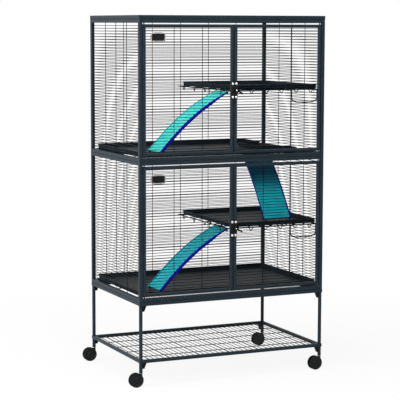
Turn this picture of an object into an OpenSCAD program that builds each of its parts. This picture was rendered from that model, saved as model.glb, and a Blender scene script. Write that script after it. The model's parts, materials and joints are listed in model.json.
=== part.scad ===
// Two-storey wire cage for ferrets on a stand with twin-wheel casters.
// Millimetres. X runs across the front, the doors face -Y, Z is up and the floor is Z = 0.

/* [Cage] */
// Outer width of the cage, across the front
cage_w = 914; // [880:1:950]
// Outer depth of the cage, front to back
cage_d = 610; // [590:1:640]
// Height of the wall panels of one storey
unit_h = 621; // [600:1:640]
// Width of the square frame tube
tube = 16.5; // [15:0.5:17]
// Chamfer along the edges of the frame tube
tube_c = 2; // [1:0.5:3]

/* [Wire] */
// Distance between the level wires of walls, doors and floors
pitch = 12.7; // [11.5:0.1:16]
// Thickness of the level wires
wire_d = 2.6; // [2:0.1:3]
// Thickness of the upright wires that hold them
post_d = 3; // [2.4:0.1:3.4]
// Distance between the wires of the floors
floor_pitch = 12.3; // [11.5:0.1:16]
// Thickness of the wires of the floors
floor_d = 2.8; // [2.4:0.1:3]
// Distance between the wires of the low wire shelf
rack_pitch = 24.5; // [20:0.5:30]

/* [Doors] */
// Width of the square tube of a door
door_t = 15; // [14:0.5:15]
// Gap between a door and the rail above or below it
door_gap = 6.5; // [5:0.5:8]
// Gap between the two doors of a storey
split = 2; // [1.5:0.5:3]
// Height of a latch plate
plate_h = 78; // [70:1:90]
// Distance between the two bolts of a latch plate
bolt_gap = 60; // [50:1:62]

/* [Stand] */
// Height of the underside of the cage above the floor
stand_h = 362.5; // [330:0.5:400]
// Diameter of a leg
leg_d = 16; // [15:0.5:16.5]
// Height of the underside of the low wire shelf
rack_z = 106; // [95:1:130]
// Width of the square tube of the low wire shelf
rack_t = 15; // [14:0.5:16]
// Height of the lower end of the legs
leg_z = 63.5; // [63:0.5:66]

/* [Casters] */
// Radius of a caster wheel
wheel_r = 32; // [30:0.5:32]
// Distance from the swivel axis to the wheel axle
trail = 23; // [20:0.5:24]
// Width across both wheels of a caster
caster_w = 28; // [27:0.5:30]

/* [Pans and shelves] */
// Height of the rim of a pan
pan_h = 21.5; // [18:0.5:26]
// Thickness of the moulded pans
pan_w = 2; // [1.5:0.5:3]
// Number of wire gaps between a floor and the shelf above it
shelf_step = 22.5; // [20.5:1:24.5]
// Left end of the half-width shelves
shelf_x0 = -14; // [-16:1:-12]
// Right end of the half-width shelves
shelf_x1 = 434; // [432:1:435]

/* [Ramps] */
// Width of a ramp with its cover
ramp_w = 137; // [125:1:145]
// Thickness of the padded top of a ramp cover
pad_t = 6; // [5:0.5:7]
// Depth of the side flap of a ramp cover
flap_h = 15; // [13:0.5:17]
// Near side of the two ramps on the left
ramp_y = -212; // [-220:1:-205]
// Left side of the ramp through the mid floor
hatch_ramp_x = 225; // [222:1:228]

/* [Hidden] */

METAL = [0.21, 0.25, 0.26];
BLACK = [0.04, 0.045, 0.05];
BRIGHT = [0.85, 0.86, 0.87];
TEAL = [0.11, 0.62, 0.67];

hw = cage_w / 2;
hd = cage_d / 2;
in_x = hw - tube;
in_y = hd - tube;
mx = hw - tube / 2;
my = hd - tube / 2;
// the casters trail to the left and the shelves' hooks end 9 mm past the right wires, so the middle
// of the whole cage, where the origin is, lies this far to the left of the middle of its walls
shift_x = (trail + wheel_r - 9) / 2;
// heights of the two storeys: underside of the wall panels
z_low = stand_h + tube;
z_up = z_low + unit_h;
z_top = z_up + unit_h;
inner_h = unit_h - 2 * tube;
// level wires of a wall panel
wall_n = round(inner_h / pitch) - 1;
wall_p = inner_h / (wall_n + 1);
// floor wires
floor_n = round(2 * in_x / floor_pitch) - 1;
floor_p = 2 * in_x / (floor_n + 1);
cos8 = cos(22.5);
// depth that welded wires sink into each other
weld = 0.5;
grid_h = floor_d;
door_y = -hd + door_t / 2;
door_z0 = tube + door_gap;
door_h = unit_h - 2 * (tube + door_gap);
door_w = in_x - 1.3 - split / 2;
hinge_x = in_x - 1.3 - door_t / 2;
pin_d = 5;
// opening in the mid floor and the rod that its ramp hangs on
hatch_x0 = -in_x + (floor((205 + in_x) / floor_p) + 0.5) * floor_p;
hatch_x1 = -in_x + (floor((385 + in_x) / floor_p) + 0.5) * floor_p;
hatch_y0 = -192;
hatch_y1 = 97;
rod_d = 5;
rod_y = 84;
rod_z = z_up + tube - 5.5;
ramp_end_x = 303;
pan_floor_low = z_low + tube + grid_h + pan_w;
pan_floor_up = z_up + tube + grid_h + pan_w;
shelf_z_low = z_low + tube + shelf_step * wall_p;
shelf_z_up = z_up + tube + shelf_step * wall_p;

// the outer floor wires stop short of the hinge pins
function clear_pin(i) = i == 1 || i == floor_n ? 9 : 0;

// ---------- wires and tubes ----------

module oct(d) {
    rotate(22.5)
        circle(r = d / 2 / cos8, $fn = 8);
}

// six-sided wires; q = 0 puts edges at the sides, q = 30 above and below
module wire_x(x0, x1, y, z, d, q = 0) {
    translate([x0, y, z])
        rotate([90, 0, 90])
            linear_extrude(x1 - x0)
                rotate(q)
                    circle(d = d, $fn = 6);
}

module wire_y(y0, y1, x, z, d, q = 0) {
    translate([x, y0, z])
        rotate([-90, 0, 0])
            linear_extrude(y1 - y0)
                rotate(q)
                    circle(d = d, $fn = 6);
}

// q = 0 puts edges at the left and right, q = 30 at the front and back
module wire_z(z0, z1, x, y, d, q = 0) {
    translate([x, y, z0])
        linear_extrude(z1 - z0)
            rotate(q)
                circle(d = d, $fn = 6);
}

module rod_x(x0, x1, y, z, d) {
    translate([x0, y, z])
        rotate([90, 0, 90])
            linear_extrude(x1 - x0)
                oct(d);
}

module rod_y(y0, y1, x, z, d) {
    translate([x, y0, z])
        rotate([-90, 0, 0])
            linear_extrude(y1 - y0)
                oct(d);
}

module rod_z(z0, z1, x, y, d) {
    translate([x, y, z0])
        linear_extrude(z1 - z0)
            oct(d);
}

// wire from one point to another in an upright plane along X
module rod_xz(a, b, y, d) {
    dx = b[0] - a[0];
    dz = b[1] - a[1];
    translate([a[0], y, a[1]])
        rotate([0, 90 - atan2(dz, dx), 0])
            linear_extrude(sqrt(dx * dx + dz * dz))
                oct(d);
}

// the same in an upright plane along Y
module rod_yz(a, b, x, d) {
    dy = b[0] - a[0];
    dz = b[1] - a[1];
    translate([x, a[0], a[1]])
        rotate([atan2(dz, dy) - 90, 0, 0])
            linear_extrude(sqrt(dy * dy + dz * dz))
                oct(d);
}

module section(s, c) {
    h = s / 2;
    polygon([[h, h - c], [h - c, h], [c - h, h], [-h, h - c],
        [-h, c - h], [c - h, -h], [h - c, -h], [h, c - h]]);
}

module tube_x(x0, x1, y, z, s = tube, c = tube_c) {
    translate([x0, y, z])
        rotate([90, 0, 90])
            linear_extrude(x1 - x0)
                section(s, c);
}

module tube_y(y0, y1, x, z, s = tube, c = tube_c) {
    translate([x, y0, z])
        rotate([-90, 0, 0])
            linear_extrude(y1 - y0)
                section(s, c);
}

module tube_z(z0, z1, x, y, s = tube, c = tube_c) {
    translate([x, y, z0])
        linear_extrude(z1 - z0)
            section(s, c);
}

// level rectangle of tube
module ring(z, s, c) {
    x = hw - s / 2;
    y = hd - s / 2;
    for (j = [-1, 1])
        tube_x(-hw, hw, j * y, z + s / 2, s, c);
    for (i = [-1, 1])
        tube_y(-y, y, i * x, z + s / 2, s, c);
}

// level mesh of many wires along Y on a few along X, under them
module deck(z, y0, y1, d, d2, ys) {
    for (i = [1:floor_n])
        wire_y(y0 + clear_pin(i), y1, -in_x + i * floor_p, z + d / 2, d, 30);
    for (y = ys)
        wire_x(-in_x, in_x, y, z - d2 / 2 + weld, d2, 30);
}

// ---------- wall panels ----------

// upright side frame at z, i = -1 left or 1 right
module side_frame(z, i) {
    for (j = [-1, 1])
        tube_z(z, z + unit_h, i * mx, j * my);
    for (h = [tube / 2, unit_h - tube / 2])
        tube_y(-my, my, i * mx, z + h);
}

module side_mesh(z, i) {
    for (k = [1:wall_n])
        wire_y(-in_y, in_y, i * mx, z + tube + k * wall_p, wire_d);
    off = (wire_d + post_d) / 2 - weld;
    for (y = [-131, 0, 131])
        wire_z(z + tube, z + unit_h - tube, i * (mx - off), y, post_d);
}

module back_mesh(z) {
    for (k = [1:wall_n])
        wire_x(-in_x, in_x, my, z + tube + k * wall_p, wire_d);
    off = (wire_d + post_d) / 2 - weld;
    for (j = [-2:2])
        wire_z(z + tube, z + unit_h - tube, j * in_x / 3, my - off, post_d, 30);
}

// the four rails that join the side frames, with the holes for the hinge pins
module cross_rails(z) {
    for (h = [tube / 2, unit_h - tube / 2]) {
        tube_x(-in_x, in_x, my, z + h);
        difference() {
            tube_x(-in_x, in_x, -my, z + h);
            for (i = [-1, 1])
                rod_z(h < 20 ? z + tube - 10 : z + unit_h - tube - 1,
                    h < 20 ? z + tube + 1 : z + unit_h - tube + 10,
                    i * hinge_x, door_y, pin_d + 1);
        }
    }
}

// ---------- doors ----------

// i = -1 for the left door, 1 for the right
module door_frame(z, i) {
    zc = [z + door_z0, z + door_z0 + door_h];
    x_out = in_x - 1.3;
    for (x = [hinge_x, split / 2 + door_t / 2])
        tube_z(zc[0], zc[1], i * x, door_y, door_t, 3.8);
    for (h = [zc[0] + door_t / 2, zc[1] - door_t / 2])
        tube_x(i < 0 ? -hinge_x : split / 2 + door_t / 2,
            i < 0 ? -split / 2 - door_t / 2 : hinge_x, door_y, h, door_t, 3.8);
    rod_z(zc[0] - door_gap - 8, zc[0] + 2, i * hinge_x, door_y, pin_d);
    rod_z(zc[1] - 2, zc[1] + door_gap + 8, i * hinge_x, door_y, pin_d);
}

module door_mesh(z, i) {
    zc = z + door_z0 + door_t;
    h = door_h - 2 * door_t;
    n = round(h / pitch) - 1;
    xa = split / 2 + door_t;
    xb = in_x - 1.3 - door_t;
    for (k = [1:n])
        wire_x(i < 0 ? -xb : xa, i < 0 ? -xa : xb, door_y, zc + k * h / (n + 1), wire_d);
    off = (wire_d + post_d) / 2 - weld;
    for (j = [1, 2])
        wire_z(zc, zc + h, i * (xa + j * (xb - xa) / 3), door_y + off, post_d, 30);
}

// latch plate with two bolts; the right one also carries the pivot of the lever
module latch_plate(z, i) {
    x = i * (split / 2 + door_t / 2);
    zm = z + unit_h / 2 - 4.5;
    translate([x, -hd - 2.5, zm])
        rotate([-90, 0, 0])
            linear_extrude(2.5)
                polygon([[-7, -plate_h / 2 + 3], [-4, -plate_h / 2], [4, -plate_h / 2],
                    [7, -plate_h / 2 + 3], [7, plate_h / 2 - 3], [4, plate_h / 2],
                    [-4, plate_h / 2], [-7, plate_h / 2 - 3]]);
    for (j = [-1, 1])
        translate([x, -hd - 2.5, zm + j * bolt_gap / 2])
            rotate([90, 0, 0]) {
                cylinder(r = 5.6, h = 2, $fn = 12);
                translate([0, 0, 1.9])
                    cylinder(r = 3.8, h = 1.3, $fn = 12);
            }
    if (i > 0)
        translate([x, -hd - 9.5, zm])
            rotate([-90, 0, 0])
                linear_extrude(7.5)
                    oct(6);
    if (i < 0)
        translate([x - 5, -hd - 8, zm - 7])
            cube([9, 6, 14]);
}

// latch lever: eye, short tongue to the split and a handle that slopes down
module latch_lever(z) {
    x = split / 2 + door_t / 2;
    zm = z + unit_h / 2 - 4.5;
    translate([x, -hd - 3.3, zm])
        rotate([90, 0, 0])
            linear_extrude(5)
                difference() {
                    union() {
                        rotate(15)
                            circle(r = 8.2, $fn = 12);
                        translate([-7.4, -4.2])
                            square([8, 8.4]);
                        rotate(-27)
                            polygon([[0, -5.5], [26, -4.5], [40, -6.5], [44, -3],
                                [44, 3.5], [40, 6.5], [26, 4.5], [0, 5.5]]);
                    }
                    oct(7.2);
                }
}

// blank oval badge on the wires of a left door
module badge(z) {
    y = door_y - wire_d / 2 - 0.1;
    translate([-hw + 91.5, y, z + unit_h - 79])
        rotate([90, 0, 0]) {
            linear_extrude(1.6)
                scale_oval(35.5, 20.5);
            translate([0, 0, 1.5])
                linear_extrude(1.2)
                    difference() {
                        scale_oval(35.5, 20.5);
                        scale_oval(32, 17);
                    }
        }
}

module scale_oval(a, b) {
    polygon([for (k = [0:31]) [a * pow(abs(cos(k * 11.25)), 0.45) * sign(cos(k * 11.25)),
        b * pow(abs(sin(k * 11.25)), 0.45) * sign(sin(k * 11.25))]]);
}

// ---------- floors, pans and shelves ----------

// octagonal outline of a pan
function cut_rect(x0, y0, x1, y1, c) = [[x0 + c, y0], [x1 - c, y0], [x1, y0 + c],
    [x1, y1 - c], [x1 - c, y1], [x0 + c, y1], [x0, y1 - c], [x0, y0 + c]];

module pan(x0, y0, x1, y1, z, h) {
    difference() {
        union() {
            translate([0, 0, z])
                linear_extrude(h)
                    polygon(cut_rect(x0, y0, x1, y1, 12));
            translate([0, 0, z + h - 2.5])
                linear_extrude(2.5)
                    polygon(cut_rect(x0 - 3, y0 - 3, x1 + 3, y1 + 3, 14));
        }
        translate([0, 0, z + pan_w])
            linear_extrude(h)
                polygon(cut_rect(x0 + 2.5, y0 + 2.5, x1 - 2.5, y1 - 2.5, 11));
    }
}

// outline of the upper pan, which leaves the opening of the ramp free
function notched(e) = let (x0 = -436 - e, y0 = 3 - hd + 22 - e, x1 = 335 + e,
    nx = hatch_x0 + 4 + e, ny0 = hatch_y0 + 2 + e, ny1 = hatch_y1 - 4 - e, c = 12)
    [[x0 + c, y0], [x1 - c, y0], [x1, y0 + c], [x1, ny0], [nx, ny0], [nx, ny1],
    [x1, ny1], [x1, -y0 - c], [x1 - c, -y0], [x0 + c, -y0], [x0, -y0 - c], [x0, y0 + c]];

module notched_pan(z, h) {
    difference() {
        union() {
            translate([0, 0, z])
                linear_extrude(h)
                    polygon(notched(0));
            translate([0, 0, z + h - 2.5])
                linear_extrude(2.5)
                    polygon(notched(3));
        }
        translate([0, 0, z + pan_w])
            linear_extrude(h)
                polygon(notched(-2.5));
    }
}

// V of wire that hangs under the edge of a shelf
module vee_x(x, y, z) {
    rod_xz([x - 11, z], [x, z - 17], y, 3);
    rod_xz([x + 11, z], [x, z - 17], y, 3);
}

module vee_y(y, x, z) {
    rod_yz([y - 11, z], [y, z - 17], x, 3);
    rod_yz([y + 11, z], [y, z - 17], x, 3);
}

// wire frame of a half-width shelf
module shelf_frame(z) {
    for (j = [-1, 1])
        rod_x(shelf_x0 - rod_d / 2, shelf_x1 + rod_d / 2, j * 283, z, rod_d + 0.4);
    for (x = [shelf_x0, shelf_x1])
        rod_y(-283, 283, x, z, rod_d);
    for (k = [1:7])
        wire_y(-283, 283, shelf_x0 + k * (shelf_x1 - shelf_x0) / 8, z + 0.6, 3.4, 30);
    for (k = [-1:1])
        wire_x(shelf_x0, shelf_x1, k * 140, z - 2.1, 3.4, 30);
    // hooks over the level wires of the side and back walls
    for (y = [-205, 70, 205]) {
        rod_x(shelf_x1, mx + 8, y, z, 4);
        rod_z(z - 12, z + 1.4, mx + 6.2, y, 3.4);
    }
    for (x = [75, 225, 370]) {
        rod_y(283, my + 8, x, z, 4);
        rod_z(z - 12, z + 1.4, x, my + 6.2, 3.4);
    }
    for (k = [0:5])
        vee_x(22 + 75 * k, -283, z);
    for (y = [-262, -20, 100, 220])
        vee_y(y, shelf_x0, z);
}

// guard of wire that hangs under the front edge of a shelf at its right end
module shelf_bracket(z) {
    y = -283;
    top = z - rod_d / 2 - 0.2;
    rod_z(z - 46.5, top, 299, y, 4.2);
    rod_z(z - 48.5, top, 430, y, 4.2);
    rod_xz([299, z - 44], [323, z - 58], y, 4.5);
    rod_xz([404, z - 58], [430, z - 46], y, 4.5);
    rod_x(321.5, 405.5, y, z - 58, 4.8);
}

module shelf_pan(z) {
    pan(-1, -278, 438, 278, z + rod_d / 2, 20);
}

// ---------- ramps ----------

// centre line of a ramp, from the rod: run u outwards and height w
function line_pt(s, a, b, bulge) = [a[0] + (b[0] - a[0]) * s,
    a[1] + (b[1] - a[1]) * s + 4 * bulge * s * (1 - s)];
function line_nrm(s, a, b, bulge) = let (g = [b[0] - a[0],
    b[1] - a[1] + 4 * bulge * (1 - 2 * s)], l = sqrt(g[0] * g[0] + g[1] * g[1]))
    [-g[1] / l, g[0] / l];
function side_pts(a, b, bulge, o) = [for (k = [0:10]) line_pt(k / 10, a, b, bulge)
    + o * line_nrm(k / 10, a, b, bulge)];
function rev(v) = [for (k = [len(v) - 1:-1:0]) v[k]];

// strip of the ramp between two offsets from its centre line, kept above the height cut
module strip(a, b, bulge, lo, hi, w, cut) {
    linear_extrude(w)
        intersection() {
            polygon(concat(side_pts(a, b, bulge, lo), rev(side_pts(a, b, bulge, hi))));
            translate([-100, cut])
                square([1000, 1000]);
        }
}

// lower edge of a side flap, which is shallower near the hooks
function flap_pts(a, b, bulge, top) = [for (k = [0:10]) line_pt(k / 10, a, b, bulge)
    + (top - flap_h * (k == 0 ? 0.68 : k == 1 ? 0.85 : 1)) * line_nrm(k / 10, a, b, bulge)];

// line at one offset that runs on past both ends
function long_pts(a, b, bulge, o) = [for (k = [0:11]) line_pt((k - 0.5) / 10, a, b, bulge)
    + o * line_nrm((k - 0.5) / 10, a, b, bulge)];

// wire ladder with two hooks that hang on a rod at the origin, run along +X, width along Z
module ramp_frame(a, b, bulge, cut) {
    for (w = [5, ramp_w - 10]) {
        translate([0, 0, w])
            strip(a, b, bulge, -2.5, 2.5, 5, cut);
        translate([0, 0, w])
            linear_extrude(5) {
                difference() {
                    rotate(15)
                        circle(r = 7.4, $fn = 12);
                    rotate(15)
                        circle(r = 3.3, $fn = 12);
                    translate([-3.2, -20])
                        square([3.2 + 3.2, 20]);
                    translate([-20, -20])
                        square([17, 20]);
                }
                translate([3.3, a[1] - 1])
                    square([3.8, -a[1] + 1]);
            }
    }
    for (k = [0:9]) {
        p = line_pt(0.04 + k * 0.104, a, b, bulge);
        translate([p[0], p[1], 7])
            linear_extrude(ramp_w - 14)
                oct(4);
    }
}

// padded top with a flap down each side, hollow below between the flaps
module ramp_cover(a, b, bulge, cut) {
    top = 2.8 + pad_t;
    difference() {
        linear_extrude(ramp_w)
            intersection() {
                polygon(concat(flap_pts(a, b, bulge, top), rev(side_pts(a, b, bulge, top))));
                translate([7.4, cut])
                    square([1000, 1000]);
            }
        translate([0, 0, 3.6])
            linear_extrude(ramp_w - 7.2)
                polygon(concat(long_pts(a, b, bulge, -40), rev(long_pts(a, b, bulge, 2.8))));
    }
}

// end of a cover that goes on under the edge of the shelf: a tongue between the hooks, and the two
// side flaps outside them
module ramp_lip() {
    translate([0, 0, 10.6])
        linear_extrude(ramp_w - 21.2)
            polygon([[-29, -5.8], [6, -23.9], [17, -30.7], [14, -30.1], [-29, -11]]);
    for (w = [0, ramp_w - 3.6])
        translate([0, 0, w])
            linear_extrude(3.6)
                polygon([[-29, -5.8], [6, -23.9], [17, -30.7], [17, -35], [-26, -16]]);
}

// ramp that runs to -X from a rod at x, z, near side at y
module put_left(x, y, z) {
    translate([x, y, z])
        mirror([1, 0, 0])
            rotate([90, 0, 0])
                mirror([0, 0, 1])
                    children();
}

// ramp that runs to -Y from a rod at y, z, left side at x
module put_front(x, y, z) {
    translate([x, y, z])
        mirror([0, 1, 0])
            rotate([90, 0, 90])
                children();
}

ramp_a = [5.2, -33];
ramp_bulge = 25;
ramp_b_low = [ramp_end_x, pan_floor_low + 3.2 - shelf_z_low];
ramp_b_up = [ramp_end_x, pan_floor_up + 3.2 - shelf_z_up];
hatch_a = [6, -24];
hatch_b = [250, shelf_z_low + rod_d / 2 + pan_w + 3.2 - rod_z];
hatch_bulge = 18;

// ---------- stand and casters ----------

module gusset(x, y, z, i) {
    translate([x, y + 6.5, z])
        rotate([90, 0, 0])
            linear_extrude(13)
                polygon([[0, 0], [i * 17, 0], [i * 17, -5], [i * 10, -25], [0, -25]]);
}

// fork and stem of a caster whose stem stands at x, y
module caster(x, y) {
    translate([x, y, 0])
        difference() {
            union() {
                translate([-trail, 0, wheel_r])
                    rotate([90, 0, 0])
                        cylinder(r = 24, h = 12, center = true);
                translate([-22, -6, wheel_r + 4])
                    cube([28, 12, 21]);
                translate([0, 0, wheel_r + 8])
                    cylinder(r = 6, h = leg_z - 1 - wheel_r - 8);
                translate([0, 0, wheel_r + 25])
                    cylinder(r = 7.6, h = leg_z - 1 - wheel_r - 25);
                translate([0, 0, leg_z - 3])
                    cylinder(r = 4, h = 33);
            }
            translate([-trail, 0, wheel_r])
                rotate([90, 0, 0])
                    cylinder(r = 3.05, h = 20, center = true);
        }
}

// two wheels on one axle
module wheels(x, y) {
    h = caster_w / 2;
    translate([x - trail, y, wheel_r])
        rotate([90, 0, 0]) {
            cylinder(r = 3, h = caster_w - 4, center = true);
            for (i = [-1, 1])
                scale([1, 1, 1])
                    mirror([0, 0, i < 0 ? 1 : 0])
                        rotate_extrude()
                            polygon([[0, 6.5], [wheel_r - 1.5, 6.5], [wheel_r, 8], [wheel_r, h - 4],
                                [wheel_r - 3, h - 1], [wheel_r - 8, h], [wheel_r - 10, h - 1.4],
                                [12, h - 1.4], [9, h], [0, h]]);
        }
}

// ---------- nodes ----------

// the pieces are drawn about the middle of the walls and moved so that the origin is in the middle
// of the whole cage
module placed() {
    translate([shift_x, 0, 0])
        children();
}

module stand_ring() {
    color(METAL)
        ring(stand_h, tube, tube_c);
}

module stand_legs() {
    color(METAL)
        for (i = [-1, 1])
            for (j = [-1, 1]) {
                translate([i * mx, j * my, rack_z + rack_t])
                    cylinder(d = leg_d, h = stand_h - rack_z - rack_t);
                difference() {
                    translate([i * mx, j * my, leg_z])
                        cylinder(d = leg_d, h = rack_z - leg_z);
                    translate([i * mx, j * my, leg_z - 1])
                        cylinder(r = 4.05, h = 33);
                }
            }
}

module stand_gussets() {
    color(BLACK)
        for (i = [-1, 1])
            for (j = [-1, 1])
                for (z = [stand_h, rack_z])
                    gusset(i * (mx - leg_d / 2 - 0.1), j * my, z, -i);
}

module rack_frame() {
    color(METAL)
        ring(rack_z, rack_t, 2);
}

module rack_grid() {
    x = hw - rack_t;
    y = hd - rack_t;
    n = round(2 * x / rack_pitch);
    p = 2 * x / n;
    z = rack_z + rack_t - 4;
    color(METAL) {
        for (k = [1:n])
            wire_y(-y, y, -x + p * (k - 0.57), z + 1.4, 2.8, 30);
        for (k = [2, 6, 12, 18, 24, 30, 34])
            wire_y(-y, y, -x + p * (k - 0.57) + 3, z + 1.4, 2.8, 30);
        for (k = [-2:2])
            wire_x(-x, x, 20 + k * 117.4, z - 1.2, 3.4, 30);
    }
}

module lower_side_left() {
    color(METAL)
        side_frame(z_low, -1);
}

module lower_mesh_left() {
    color(METAL)
        side_mesh(z_low, -1);
}

module lower_side_right() {
    color(METAL)
        side_frame(z_low, 1);
}

module lower_mesh_right() {
    color(METAL)
        side_mesh(z_low, 1);
}

module lower_rails() {
    color(METAL)
        cross_rails(z_low);
}

module lower_mesh_back() {
    color(METAL)
        back_mesh(z_low);
}

module lower_floor() {
    color(METAL)
        deck(z_low + tube, -hd + 6, my - 4, floor_d, 4, [-240, 0, 240]);
}

module lower_pan() {
    color(BLACK)
        pan(-436, -280, 436, 280, z_low + tube + grid_h, pan_h);
}

module lower_shelf_frame() {
    color(METAL)
        shelf_frame(shelf_z_low);
}

module lower_shelf_bracket() {
    color(METAL)
        shelf_bracket(shelf_z_low);
}

module lower_shelf_pan() {
    color(BLACK)
        shelf_pan(shelf_z_low);
}

module upper_side_left() {
    color(METAL)
        side_frame(z_up, -1);
}

module upper_mesh_left() {
    color(METAL)
        side_mesh(z_up, -1);
}

module upper_side_right() {
    color(METAL)
        side_frame(z_up, 1);
}

module upper_mesh_right() {
    color(METAL)
        side_mesh(z_up, 1);
}

module upper_rails() {
    color(METAL)
        cross_rails(z_up);
}

module upper_mesh_back() {
    color(METAL)
        back_mesh(z_up);
}

// wire floor between the storeys, open where the ramp comes through
module mid_floor() {
    z = z_up + tube;
    color(METAL) {
        for (i = [1:floor_n]) {
            x = -in_x + i * floor_p;
            if (x > hatch_x0 && x < hatch_x1) {
                wire_y(-hd + 6, hatch_y0 + 1, x, z + floor_d / 2, floor_d, 30);
                wire_y(hatch_y1 - 1, my - 4, x, z + floor_d / 2, floor_d, 30);
            } else {
                wire_y(-hd + 6 + clear_pin(i), my - 4, x, z + floor_d / 2, floor_d, 30);
            }
        }
        for (y = [-245, 245])
            wire_x(-in_x, in_x, y, z - 1.5, 4, 30);
        wire_x(-in_x, hatch_x0, 0, z - 1.5, 4, 30);
        wire_x(hatch_x1, in_x, 0, z - 1.5, 4, 30);
        for (y = [hatch_y0, hatch_y1])
            rod_x(hatch_x0, hatch_x1, y, z - 2, rod_d - 0.4);
        for (x = [hatch_x0, hatch_x1])
            rod_y(hatch_y0 - 2.5, hatch_y1 + 2.5, x, z - 2.1, rod_d);
        rod_x(hatch_x0, hatch_x1, rod_y, rod_z, rod_d);
    }
}

module upper_pan() {
    color(BLACK)
        notched_pan(z_up + tube + grid_h, pan_h);
}

module upper_shelf_frame() {
    color(METAL)
        shelf_frame(shelf_z_up);
}

module upper_shelf_bracket() {
    color(METAL)
        shelf_bracket(shelf_z_up);
}

module upper_shelf_pan() {
    color(BLACK)
        shelf_pan(shelf_z_up);
}

module roof_ring() {
    color(METAL)
        ring(z_top, tube, tube_c);
}

module roof_mesh() {
    color(METAL)
        deck(z_top + 8, -in_y, in_y, floor_d, 4, [-145, 0, 145]);
}

module door_ll_frame() {
    color(METAL)
        door_frame(z_low, -1);
}

module door_ll_mesh() {
    color(METAL)
        door_mesh(z_low, -1);
}

module door_ll_plate() {
    color(BLACK)
        latch_plate(z_low, -1);
}

module door_ll_badge() {
    color(BLACK)
        badge(z_low);
}

module door_lr_frame() {
    color(METAL)
        door_frame(z_low, 1);
}

module door_lr_mesh() {
    color(METAL)
        door_mesh(z_low, 1);
}

module door_lr_plate() {
    color(BLACK)
        latch_plate(z_low, 1);
}

module door_lr_lever() {
    color(BLACK)
        latch_lever(z_low);
}

module door_ul_frame() {
    color(METAL)
        door_frame(z_up, -1);
}

module door_ul_mesh() {
    color(METAL)
        door_mesh(z_up, -1);
}

module door_ul_plate() {
    color(BLACK)
        latch_plate(z_up, -1);
}

module door_ul_badge() {
    color(BLACK)
        badge(z_up);
}

module door_ur_frame() {
    color(METAL)
        door_frame(z_up, 1);
}

module door_ur_mesh() {
    color(METAL)
        door_mesh(z_up, 1);
}

module door_ur_plate() {
    color(BLACK)
        latch_plate(z_up, 1);
}

module door_ur_lever() {
    color(BLACK)
        latch_lever(z_up);
}

module ramp_lower_frame() {
    color(METAL)
        put_left(shelf_x0, ramp_y, shelf_z_low)
            ramp_frame(ramp_a, ramp_b_low, ramp_bulge, ramp_b_low[1] - 2.7);
}

module ramp_lower_cover() {
    color(TEAL)
        put_left(shelf_x0, ramp_y, shelf_z_low) {
            ramp_cover(ramp_a, ramp_b_low, ramp_bulge, ramp_b_low[1] - 2.7);
            ramp_lip();
        }
}

module ramp_upper_frame() {
    color(METAL)
        put_left(shelf_x0, ramp_y, shelf_z_up)
            ramp_frame(ramp_a, ramp_b_up, ramp_bulge, ramp_b_up[1] - 2.7);
}

module ramp_upper_cover() {
    color(TEAL)
        put_left(shelf_x0, ramp_y, shelf_z_up) {
            ramp_cover(ramp_a, ramp_b_up, ramp_bulge, ramp_b_up[1] - 2.7);
            ramp_lip();
        }
}

module ramp_hatch_frame() {
    color(METAL)
        put_front(hatch_ramp_x, rod_y, rod_z)
            ramp_frame(hatch_a, hatch_b, hatch_bulge, hatch_b[1] - 2.7);
}

module ramp_hatch_cover() {
    color(TEAL)
        put_front(hatch_ramp_x, rod_y, rod_z)
            ramp_cover(hatch_a, hatch_b, hatch_bulge, hatch_b[1] - 2.7);
}

module caster_fl() {
    color(BLACK)
        caster(-mx, -my);
}

module wheels_fl() {
    color(BLACK)
        wheels(-mx, -my);
}

module caster_fr() {
    color(BLACK)
        caster(mx, -my);
}

module wheels_fr() {
    color(BLACK)
        wheels(mx, -my);
}

module caster_bl() {
    color(BLACK)
        caster(-mx, my);
}

module wheels_bl() {
    color(BLACK)
        wheels(-mx, my);
}

module caster_br() {
    color(BLACK)
        caster(mx, my);
}

module wheels_br() {
    color(BLACK)
        wheels(mx, my);
}

placed() stand_ring();
placed() stand_legs();
placed() stand_gussets();
placed() rack_frame();
placed() rack_grid();
placed() lower_side_left();
placed() lower_mesh_left();
placed() lower_side_right();
placed() lower_mesh_right();
placed() lower_rails();
placed() lower_mesh_back();
placed() lower_floor();
placed() lower_pan();
placed() lower_shelf_frame();
placed() lower_shelf_bracket();
placed() lower_shelf_pan();
placed() upper_side_left();
placed() upper_mesh_left();
placed() upper_side_right();
placed() upper_mesh_right();
placed() upper_rails();
placed() upper_mesh_back();
placed() mid_floor();
placed() upper_pan();
placed() upper_shelf_frame();
placed() upper_shelf_bracket();
placed() upper_shelf_pan();
placed() roof_ring();
placed() roof_mesh();
placed() door_ll_frame();
placed() door_ll_mesh();
placed() door_ll_plate();
placed() door_ll_badge();
placed() door_lr_frame();
placed() door_lr_mesh();
placed() door_lr_plate();
placed() door_lr_lever();
placed() door_ul_frame();
placed() door_ul_mesh();
placed() door_ul_plate();
placed() door_ul_badge();
placed() door_ur_frame();
placed() door_ur_mesh();
placed() door_ur_plate();
placed() door_ur_lever();
placed() ramp_lower_frame();
placed() ramp_lower_cover();
placed() ramp_upper_frame();
placed() ramp_upper_cover();
placed() ramp_hatch_frame();
placed() ramp_hatch_cover();
placed() caster_fl();
placed() wheels_fl();
placed() caster_fr();
placed() wheels_fr();
placed() caster_bl();
placed() wheels_bl();
placed() caster_br();
placed() wheels_br();
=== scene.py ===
# %% [markdown]
# # Two-storey ferret cage on a wheeled stand
# The cage's tubes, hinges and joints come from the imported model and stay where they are. This lesson
# dresses them: round welded wires in place of plain six-sided ones, moulded pans, padded ramp covers,
# latches and twin-wheel casters, and a finish for each. All sizes are metres in the frame's axes:
# X runs across the front, the doors face -Y, and the floor is Z = 0.

import bpy
import bmesh
import json
import math
from mathutils import Matrix, Vector


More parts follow.
